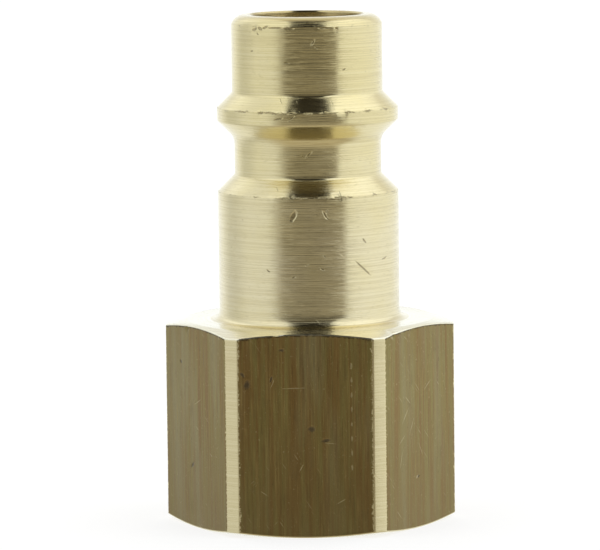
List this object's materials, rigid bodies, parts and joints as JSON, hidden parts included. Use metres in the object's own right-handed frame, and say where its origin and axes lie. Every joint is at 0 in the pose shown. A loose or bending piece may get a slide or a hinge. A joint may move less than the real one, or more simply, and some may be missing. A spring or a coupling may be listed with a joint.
{
  "type": "quick disconnect coupler plug",
  "caption": "Brass plug half of a quick disconnect coupler: stepped plug-in profile with a locking collar, hexagonal base with a female thread, and a spring-loaded poppet valve inside.",
  "frame": {"origin": "centre of the port's end face, which the plug stands on", "axes": "+Z along the plug's axis towards the tip; two of the hexagon's flats are square to Y, so two corners lie on X"},
  "size_m": [0.019, 0.017, 0.0335],
  "materials": {
    "body_brass": "fine turned surfaces, with tarnished drawn-bar flats",
    "valve_brass": "fine turned",
    "seal_rubber": "matte black nitrile",
    "spring_steel": "drawn stainless wire",
    "ring_steel": "dark phosphated spring steel"
  },
  "bodies": {
    "plug": {"plug_body": "body_brass", "valve_guide": "valve_brass", "retaining_ring": "ring_steel", "valve_spring": "spring_steel"},
    "valve": {"valve_poppet": "valve_brass", "poppet_seal": "seal_rubber"}
  },
  "joints": [
    {"name": "valve_slide", "type": "slide", "parent": "plug", "child": "valve", "axis": [0, 0, -1], "range_m": [0, 0.0032], "stiffness_N_per_m": 1100, "springref_m": -0.0041, "deforming": ["valve_spring"]}
  ]
}
